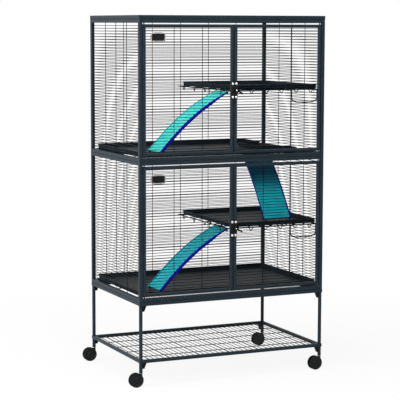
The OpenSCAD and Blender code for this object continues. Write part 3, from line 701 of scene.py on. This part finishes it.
# %% The line of a ramp
RAMP_W = 137 * MM


def on_line(s, a, b, bulge, off=0.0):
    """Run and height at the share s of the ramp, off metres along the normal."""
    run = a[0] + (b[0] - a[0]) * s
    high = a[1] + (b[1] - a[1]) * s + 4 * bulge * s * (1 - s)
    slope = Vector((b[0] - a[0], b[1] - a[1] + 4 * bulge * (1 - 2 * s))).normalized()
    return run - slope.y * off, high + slope.x * off


def place_left(z):
    return lambda run, high, across: Vector((SHELF_X0 - run, -212 * MM + across, z + high))


def place_front(run, high, across):
    return Vector((225 * MM + across, HATCH_ROD[0] - run, HATCH_ROD[1] + high))


# Each ramp has its placing, its upper end, its foot and how far it bulges over the straight line.
FOOT_UP = 2 * MM + 3.2 * MM  # the pan's sheet and what the ladder stands on
RAMPS = {
    storey: (place_left(SHELF_Z[storey]), (5.2 * MM, -33 * MM),
             (303 * MM, Z_WIRES[storey] + DECK + FOOT_UP - SHELF_Z[storey]), 25 * MM)
    for storey in ("lower", "upper")}
RAMPS["hatch"] = (place_front, (6 * MM, -24 * MM),
                  (250 * MM, SHELF_Z["lower"] + 2.5 * MM + FOOT_UP - HATCH_ROD[1]), 18 * MM)
print("ramps:", {name: [round(v, 4) for v in ramp[2]] for name, ramp in RAMPS.items()})

# %% Wire ladders
RAIL, RAIL_IN = 4 * MM, 7.5 * MM  # thickness of a side wire, and its place from the ramp's side
RUNG, RUNG_IN, FIRST_RUNG, RUNG_STEP = 3.6 * MM, 7 * MM, 0.04, 0.104
HOOK_MM = ((5.3, -18), (5.3, 0), (3.8, 3.8), (0, 5.3), (-3.8, 3.8), (-5.3, 0.2))  # round the rod
for name, (place, a, b, bulge) in RAMPS.items():
    parts = []
    for across in (RAIL_IN, RAMP_W - RAIL_IN):
        rail = [place(*on_line(1 - k / 10, a, b, bulge), across) for k in range(11)]
        rail += [place(run * MM, high * MM, across) for run, high in HOOK_MM]
        parts.append(bent(rail, RAIL, 6 * MM, 2))
    for k in range(10):
        run, high = on_line(FIRST_RUNG + k * RUNG_STEP, a, b, bulge)
        parts.append(rod(place(run, high, RUNG_IN), place(run, high, RAMP_W - RUNG_IN), RUNG))
    welded(parts, f"ramp_{name}_ladder", f"ramp_{name}", f"ramp_{name}_frame")

# %% [markdown]
# The cover is a sleeve of fleece with a thin pad inside and a flap that hangs down at each side. The pad
# starts as a grid that is laid along the ramp's line, gets its thickness from Solidify and is blown up a
# little by a cloth simulation, so that it is fuller in the middle than at the seams. A flap is a narrow
# grid of blue cloth, and a cord runs along its upper edge: blue and full on the side that the photograph
# shows bound, low and in the cover's own colour on the other. The two shelf ramps have a lip at the top.

# %% Cover helpers
PAD_MID, PAD_THICK, PAD_IN = 4.3 * MM, 2.8 * MM, 2 * MM
PAD_OUT, FLAP, FLAP_THICK = 8.4 * MM, 14.4 * MM, 1.8 * MM
CORD, CORD_BLUE, CORD_HATCH = 3.4 * MM, 3.8 * MM, 5.0 * MM
SEAM = 1.2 * MM  # place of a flap from the ramp's side
LOW_SIDE = 2.4 * MM  # how much lower the side without blue cord is
FLOOR_GAP = 2.6 * MM  # how far a flap may hang below the ramp's foot
SWELL = 1.3 * MM  # the furthest that the simulation may move a point
HATCH_LONG = 0.985  # the hatch cover ends a little before its ladder
LIP_MM = ((-28, -8.8), (-18, -13.8), (-8, -19.0), (2, -24.2), (9, -28.0), (16, -31.6))


def laid_grid(rows, columns, to_place):
    """A grid of 0..1 by 0..1 whose points are moved by to_place(s, t)."""
    clear()
    bpy.ops.mesh.primitive_grid_add(x_subdivisions=rows, y_subdivisions=columns, size=1,
                                    location=(0.5, 0.5, 0))
    ob = settle(bpy.context.object)
    for v in ob.data.vertices:
        v.co = to_place(v.co.x, v.co.y)
    return ob


def thicken(ob, thick, edge, cloth, segments=2):
    """Gives a laid grid its thickness, soft edges and a finish."""
    apply(ob, "SOLIDIFY", thickness=thick, offset=0.0)
    return give(outward(ease(ob, edge, 50, segments)), cloth)


def puff(ob, most):
    """Blows a closed pad up with the cloth simulation, no point further than most."""
    apply(ob, "REMESH", mode="VOXEL", voxel_size=3.2 * MM)
    rest = [v.co.copy() for v in ob.data.vertices]
    cloth = ob.modifiers.new("cloth", "CLOTH")
    cloth.settings.use_pressure = True
    cloth.settings.uniform_pressure_force = 3.0
    cloth.settings.effector_weights.gravity = 0
    for step in range(1, 15):
        bpy.context.scene.frame_set(step)
    only(ob)
    bpy.ops.object.modifier_apply(modifier="cloth")
    bpy.context.scene.frame_set(1)
    for v, was in zip(ob.data.vertices, rest):
        move = v.co - was
        if move.length > most:
            v.co = was + move * (most / move.length)
    return ob


# %% The parts of a cover
def on_cover(name, s, off, across, start=0.01):
    """The point at the share s of a cover, off metres above the line of its ramp, never in the floor."""
    place, a, b, bulge = RAMPS[name]
    long = HATCH_LONG if name == "hatch" else 1.0
    run, high = on_line(start + s * (long - 0.01), a, b, bulge, off)
    return place(run, max(high, b[1] - FLOOR_GAP), across)


def cover_pad(name):
    """The pad, thickened and swollen."""
    wide = RAMP_W - 2 * PAD_IN
    pad = laid_grid(72, 28, lambda s, t: on_cover(name, s, PAD_MID, PAD_IN + t * wide, 0.006))
    outward(apply(pad, "SOLIDIFY", thickness=PAD_THICK, offset=0.0))
    puff(pad, SWELL)
    return give(pad, COVER_PAINT[name])


def cover_side(name, across, bound):
    """The flap at one side, waving a little at its hem, and the cord along its upper edge."""
    rise = PAD_OUT if bound else PAD_OUT - LOW_SIDE
    inside = 1 if across < RAMP_W / 2 else -1

    def on_flap(s, t):
        wave = 0.5 * MM * math.sin(s * 23) * (1 - t)
        deep = FLAP * min(1, 0.45 + 4 * s, 0.7 + 1.5 * s)
        off = rise + (PAD_OUT - deep - rise) * (1 - t)
        return on_cover(name, s, off, across + inside * (wave + 0.6 * MM * t))

    flap = thicken(laid_grid(60, 8, on_flap), FLAP_THICK, 0.6 * MM, binding)
    line = [on_cover(name, k / 24, PAD_OUT - 1.4 * MM, across) for k in range(25)]
    thick = CORD if not bound else CORD_HATCH if name == "hatch" else CORD_BLUE
    return [flap, bent(line, thick, 2 * MM, 1, binding if bound else COVER_PAINT[name])]


def on_lip(s, lift=0.0):
    """Run and height at the share s of the lip's line."""
    last = len(LIP_MM) - 1
    k = min(int(s * last), last - 1)
    run, high = (Vector(LIP_MM[k]) * MM).lerp(Vector(LIP_MM[k + 1]) * MM, s * last - k)
    return run, high + lift


def cover_lip(name):
    """The pad over the shelf's edge, with a hem at each side."""
    place = RAMPS[name][0]
    lip = laid_grid(20, 24, lambda s, t: place(*on_lip(s), 2.4 * MM + t * (RAMP_W - 4.8 * MM)))
    parts = [thicken(lip, 4.4 * MM, 1.4 * MM, COVER_PAINT[name], 3)]
    for across in (SEAM, RAMP_W - SEAM):
        hem = laid_grid(20, 6, lambda s, t: place(*on_lip(s, 2.6 * MM - t * 8 * MM), across))
        parts.append(thicken(hem, FLAP_THICK, 0.6 * MM, binding))
    return parts


# %% Ramp covers
for name in RAMPS:
    seen_side = RAMP_W - SEAM if name == "hatch" else SEAM
    parts = [cover_pad(name)]
    for across in (SEAM, RAMP_W - SEAM):
        parts += cover_side(name, across, across == seen_side)
    if name != "hatch":
        parts += cover_lip(name)
    cover = done(merge(parts), f"ramp_{name}_fleece", f"ramp_{name}", f"ramp_{name}_cover", 50)

# %% [markdown]
# ## Latches and badges
# Each door stile carries a pressed plate with two bright bolts, and a lever on the right door turns over
# a keeper on the left one. A bolt is a cylinder whose face is inset and raised into a dome. The lever is
# joined from three shapes and remeshed, which melts them into one casting with soft edges.

# %% Bolts and plates
PLATE_W, PLATE_H, PLATE_T = 14 * MM, 78 * MM, 2.5 * MM
PLATE_Y = -HALF_D - PLATE_T
BOLT_R, WASHER, BOLT_AT = 5.5 * MM, 1.0 * MM, 30 * MM  # BOLT_AT: up and down from the middle


def drum(radius, depth, centre, sides=32, upright=False):
    """A cylinder along Y, or along Z if it stands upright."""
    clear()
    bpy.ops.mesh.primitive_cylinder_add(vertices=sides, radius=radius, depth=depth, location=centre,
                                        rotation=(0 if upright else math.pi / 2, 0, 0))
    return settle(bpy.context.object)


def block(size, centre):
    clear()
    bpy.ops.mesh.primitive_cube_add(size=1, location=centre)
    ob = bpy.context.object
    ob.scale = size
    return settle(ob)


def bolt(x, z):
    """A washer with a domed head on a face at PLATE_Y."""
    ob = drum(BOLT_R, WASHER, (x, PLATE_Y - WASHER / 2, z))
    pick(ob, "FACE", lambda c, n: n.y < -0.9)
    bpy.ops.mesh.inset(thickness=1.5 * MM)
    pull((0, -2.0 * MM, 0))
    bpy.ops.mesh.bevel(offset=1.6 * MM, segments=4, affect="EDGES")
    return give(ease(ob, 0.25 * MM), zinc)


def plate(x, z):
    """The pressed plate with its corners cut and its edges eased."""
    ob = block((PLATE_W, PLATE_T, PLATE_H), (x, -HALF_D - PLATE_T / 2, z))
    pick(ob, "EDGE", lambda c, d: abs(d.y) > 0.9)
    bpy.ops.mesh.bevel(offset=3 * MM, segments=3, affect="EDGES")
    pick(ob, "FACE", lambda c, n: n.y < -0.9)
    bpy.ops.mesh.inset(thickness=1.6 * MM)
    bpy.ops.mesh.inset(thickness=0.6 * MM, depth=-0.5 * MM)
    return give(ease(ob, 0.3 * MM, 40), part_black)


# %% Lever
LEVER_Y, LEVER_T = -HALF_D - 5.8 * MM, 4.4 * MM
HANDLE, HANDLE_H, HANDLE_TURN = 44 * MM, 9 * MM, math.radians(27)


def lever(x, z):
    """Eye, tongue and a handle that slopes down to the right, cast as one."""
    y = LEVER_Y
    eye = drum(8 * MM, LEVER_T, (x, y, z))
    tongue = block((9 * MM, LEVER_T, 7.6 * MM), (x - 3.2 * MM, y, z))
    handle = block((HANDLE, LEVER_T, HANDLE_H), (x + HANDLE / 2, y, z))
    pick(handle, "FACE", lambda c, n: n.x > 0.9)
    bpy.ops.transform.resize(value=(1, 1, 0.8))
    pull((-9 * MM, 0, 0))
    clear()
    handle.data.transform(Matrix.Translation((x, y, z)) @ Matrix.Rotation(HANDLE_TURN, 4, "Y")
                          @ Matrix.Translation((-x, -y, -z)))
    ob = merge([eye, tongue, handle])
    apply(ob, "REMESH", mode="VOXEL", voxel_size=0.6 * MM)
    return give(apply(ob, "SMOOTH", factor=0.5, iterations=6), part_black)


# %% Latches on the doors
STILE_X = DOOR_SPLIT / 2 + DOOR_TUBE / 2
LATCH_DROP = 4.5 * MM  # below the middle of the storey
for storey, key, base in (("upper", "u", Z_UP), ("lower", "l", Z_LOW)):
    z = base + UNIT / 2 - LATCH_DROP
    for sign, side in ((-1, "l"), (1, "r")):
        x = sign * STILE_X
        parts = [plate(x, z)] + [bolt(x, z + j * BOLT_AT) for j in (-1, 1)]
        if side == "r":
            pivot = drum(3 * MM, 7.5 * MM, (x, -HALF_D - 5.75 * MM, z), 24)
            parts.append(give(ease(pivot, 0.8 * MM, 30, 3), zinc))
        else:
            keeper = block((9 * MM, 6 * MM, 14 * MM), (x - 0.5 * MM, -HALF_D - 5 * MM, z))
            parts.append(give(ease(keeper, 1.4 * MM, 30, 3), part_black))
        done(merge(parts), f"{storey}_latch_plate_{side}", f"door_{key}{side}",
             f"door_{key}{side}_plate")
    done(lever(STILE_X, z), f"{storey}_latch_handle", f"latch_{storey}",
         f"door_{key}r_lever")

# %% [markdown]
# The badge is a small plate on the door's wires, an oval pressed nearly square. It is left blank: a black
# face inside a pale rim. A flat ring of points takes that shape and is extruded, and its front is inset
# three times, for the black edge, the pale rim and the sunk face.

# %% Badges
BADGE_X, BADGE_DROP, BADGE_T = -HALF_W + 91.5 * MM, 79 * MM, 2.6 * MM
BADGE_W, BADGE_H = 35.5 * MM, 20.5 * MM  # half the width and height
SQUARE = 0.45  # 1 leaves an oval, 0 would give a rectangle
RIM_START, RIM_END = 1.2 * MM, 4.4 * MM  # the pale rim, from the badge's edge inwards


def squared(v, x, y, z):
    """The place of a point of the unit circle on the badge's outline round (x, y, z)."""
    return (x + BADGE_W * math.copysign(abs(v.x) ** SQUARE, v.x), y,
            z + BADGE_H * math.copysign(abs(v.y) ** SQUARE, v.y))


for storey, body, base in (("upper", "door_ul", Z_UP), ("lower", "door_ll", Z_LOW)):
    y, z = DOOR_Y - WIRE / 2 - 0.1 * MM, base + UNIT - BADGE_DROP
    clear()
    bpy.ops.mesh.primitive_circle_add(vertices=64, radius=1, fill_type="NGON")
    ob = bpy.context.object
    for v in ob.data.vertices:
        v.co = squared(v.co.copy(), BADGE_X, y, z)
    edit(ob)
    pull((0, -BADGE_T, 0))
    pick(give(outward(ob), part_black, pewter), "FACE", lambda c, n: n.y < -0.9)
    bpy.ops.mesh.inset(thickness=1.6 * MM)
    bpy.ops.mesh.inset(thickness=3.0 * MM)
    bpy.ops.mesh.inset(thickness=0.5 * MM, depth=-0.8 * MM)
    clear()
    for face in ob.data.polygons:
        inward = min(BADGE_W - abs(face.center.x - BADGE_X), BADGE_H - abs(face.center.z - z))
        face.material_index = 1 if face.normal.y < -0.9 and RIM_START < inward < RIM_END else 0
    done(ease(ob, 0.3 * MM, 40), f"{storey}_badge", body, f"{body}_badge")

# %% [markdown]
# ## Corner brackets of the stand
# Black brackets brace each leg under the cage and under the low shelf. Each starts as a block.
# Its lower end is drawn in to a slope towards the leg, and both cheeks are sunk to leave a rib.

# %% Brackets
BRACKET_W, BRACKET_D, BRACKET_H = 17 * MM, 13 * MM, 25 * MM
SHELF_BRACKET_Z = 106 * MM


def bracket(x, y, z, toward):
    """A bracket whose top is at z and which reaches toward -1 or 1 in X."""
    ob = block((BRACKET_W, BRACKET_D, BRACKET_H), (x + toward * BRACKET_W / 2, y, z - BRACKET_H / 2))
    pick(ob, "EDGE", lambda c, d: abs(d.y) > 0.9 and c.z < z - 24 * MM and (c.x - x) * toward > 10 * MM)
    bpy.ops.transform.translate(value=(-toward * 10 * MM, 0, 0))
    bpy.ops.mesh.bevel(offset=3 * MM, segments=3, affect="EDGES")
    pick(ob, "FACE", lambda c, n: abs(n.y) > 0.9)
    bpy.ops.mesh.inset(thickness=2.2 * MM, use_individual=True)
    bpy.ops.mesh.inset(thickness=0.3 * MM, depth=-2.4 * MM, use_individual=True)
    return give(ease(ob, 0.6 * MM, 35), part_black)


parts = [bracket(i * (MID_X - LEG_R - 0.1 * MM), j * MID_Y, z, -i)
         for i in (-1, 1) for j in (-1, 1) for z in (STAND_TOP, SHELF_BRACKET_Z)]
done(merge(parts), "stand_brackets", "cage", "stand_gussets")

# %% [markdown]
# ## Casters
# A twin-wheel caster has a moulded hood between two wheels and turns on a stem in the leg. The wheel is
# a cylinder: its outer face is inset and sunk, a hub is raised in the middle, and the tread is beveled
# round. The four casters are copies of one, each with a mesh of its own.

# %% One wheel pair
CASTERS = {"fl": (-MID_X, -MID_Y), "fr": (MID_X, -MID_Y), "bl": (-MID_X, MID_Y), "br": (MID_X, MID_Y)}
WHEEL_W, WHEEL_OUT = 7.4 * MM, 10.2 * MM  # width of a wheel, and its middle from the caster's
FACE_MM = ((6, 0), (1.2, -1.6), (12.5, 0), (1.4, 1.5), (5, 0), (0.6, -0.8))  # each inset and its depth


def wheel(out):
    """One wheel, out = -1 towards -Y and 1 towards +Y, on an axle at the origin."""
    ob = drum(WHEEL_R, WHEEL_W, (0, out * WHEEL_OUT, 0), 64)
    pick(ob, "FACE", lambda c, n: n.y * out > 0.9)
    for wide, deep in FACE_MM:
        bpy.ops.mesh.inset(thickness=wide * MM, depth=deep * MM)
    pick(ob, "EDGE", lambda c, d: math.hypot(c.x, c.z) > WHEEL_R - MM and abs(d.y) < 0.1)
    bpy.ops.mesh.bevel(offset=2.2 * MM, segments=4, affect="EDGES")
    clear()
    give(ob, nylon, tread)
    for face in ob.data.polygons:
        if math.hypot(face.center.x, face.center.z) > WHEEL_R - 2.4 * MM:
            face.material_index = 1
    return ease(ob, 0.3 * MM)


axle = give(drum(3 * MM, 23 * MM, (0, 0, 0), 24), zinc)
wheel_pair = merge([wheel(-1), wheel(1), axle])
print("wheel pair:", len(wheel_pair.data.polygons), "faces")

# %% The hood and stem
HOOD_R, HOOD_W = 23.6 * MM, 11.6 * MM
hood = drum(HOOD_R, HOOD_W, (-TRAIL, 0, WHEEL_R), 64)
pick(hood, "FACE", lambda c, n: n.z > 0.5 and n.x > -0.2)
pull((3 * MM, 0, 2 * MM))
arm = block((28 * MM, HOOD_W, 21 * MM), (-8 * MM, 0, WHEEL_R + 14.5 * MM))
pick(arm, "EDGE", lambda c, d: abs(d.y) > 0.9 and c.z > WHEEL_R + 20 * MM)
bpy.ops.mesh.bevel(offset=7 * MM, segments=5, affect="EDGES")
neck = drum(7.4 * MM, 22 * MM, (0, 0, 51 * MM), 40, True)
fork = merge([hood, arm, neck])
apply(fork, "REMESH", mode="VOXEL", voxel_size=0.8 * MM)
give(apply(fork, "SMOOTH", factor=0.5, iterations=5), nylon)
collar = give(ease(drum(7.0 * MM, 2.2 * MM, (0, 0, 61.6 * MM), 40, True), 0.7 * MM, 30, 3), zinc)
stem = give(drum(3.9 * MM, 30 * MM, (0, 0, 75 * MM), 24, True), zinc)
caster = merge([fork, collar, stem])
print("caster:", len(caster.data.polygons), "faces")

# %% Four casters
for corner, (x, y) in CASTERS.items():
    done(twin(caster, (x, y, 0)), f"caster_{corner}_fork", f"caster_{corner}",
         f"caster_{corner}")
    done(twin(wheel_pair, (x - TRAIL, y, WHEEL_R)), f"caster_{corner}_wheels", f"wheel_{corner}",
         f"wheels_{corner}")
for pattern in (caster, wheel_pair):
    bpy.data.objects.remove(pattern)

# %% [markdown]
# ## Studio
# The photograph is a plain product shot on white. A big soft lamp hangs above, a broad one stands at the
# left, and a smaller one at the front left throws the shade of the middle floor on the ramp. The floor
# and the world are white to the camera and plain to everything else, so the light stays level. Round
# the cage a little of the lit floor is let through, which keeps the shadow that it throws.

# %% Lamps
def lamp(name, where, target, size, power):
    """A square lamp of that size in metres and power in watts, aimed at the target."""
    turn = (Vector(target) - Vector(where)).to_track_quat("-Z", "Y").to_euler()
    bpy.ops.object.light_add(type="AREA", location=where, rotation=turn)
    made = bpy.context.object
    made.name = name
    made.data.size = size
    made.data.energy = power


lamp("lamp_top", (-0.6, -0.6, 4.2), (0, 0, 1.0), 2.6, 130)
lamp("lamp_left", (-4.4, -0.6, 2.0), (0, 0, 1.0), 2.4, 170)
lamp("lamp_front", (-0.6, -4.6, 2.9), (0, 0, 0.8), 0.8, 60)


# %% White to the camera
def white_to_camera(tree, plain, output):
    """Mixes plain with pure white for camera, mirror and glass rays. Gives back the mix."""
    ray = add(tree, "LightPath", -500, 400)
    either = add(tree, "Math", -250, 350, operation="MAXIMUM")
    both = add(tree, "Math", -400, 200, operation="MAXIMUM")
    link(ray, "Is Glossy Ray", both, 0)
    link(ray, "Is Transmission Ray", both, 1)
    link(ray, "Is Camera Ray", either, 0)
    link(both, 0, either, 1)
    white = add(tree, "Emission", -250, -300)
    mix = add(tree, "MixShader", 300, 0)
    link(either, 0, mix, "Fac")
    tree.links.new(plain, mix.inputs[1])
    link(white, "Emission", mix, 2)
    link(mix, "Shader", output, "Surface")
    return mix


SKY = 0.26
world = bpy.data.worlds.new("white_studio")
world.use_nodes = True
bpy.context.scene.world = world
sky = world.node_tree.nodes["Background"]
sky.inputs["Color"].default_value = (1, 1, 1, 1)
sky.inputs["Strength"].default_value = SKY
white_to_camera(world.node_tree, sky.outputs["Background"], world.node_tree.nodes["World Output"])
print("world:", world.name, SKY)

# %% Floor
SHADOW = 0.1  # the share of the lit floor that is let through near the cage
SHADOW_NEAR, SHADOW_FAR = 0.9, 2.4  # metres from the middle between which it fades out
clear()
bpy.ops.mesh.primitive_plane_add(size=30, location=(0, 0, 0))
floor = bpy.context.object
floor.name = "studio_floor"
pale = bpy.data.materials.new("pale_floor")
pale.use_nodes = True
tree = pale.node_tree
matt = tree.nodes["Principled BSDF"]
matt.inputs["Base Color"].default_value = (0.8, 0.8, 0.8, 1)
matt.inputs["Roughness"].default_value = 0.9
seen = white_to_camera(tree, matt.outputs["BSDF"], tree.nodes["Material Output"]).inputs["Fac"]
spot = add(tree, "TexCoord", -900, 700)
away = add(tree, "VectorMath", -700, 700, operation="LENGTH")
veil = add(tree, "MapRange", -500, 700,
           {"From Min": SHADOW_NEAR, "From Max": SHADOW_FAR, "To Min": 1 - SHADOW})
share = add(tree, "Math", 0, 500, operation="MULTIPLY")
link(spot, "Object", away, 0)
link(away, "Value", veil, "Value")
link(veil, "Result", share, 0)
tree.links.new(seen.links[0].from_socket, share.inputs[1])
tree.links.new(share.outputs["Value"], seen)
give(floor, pale)
print("floor:", floor.name, "with a shadow of", SHADOW)
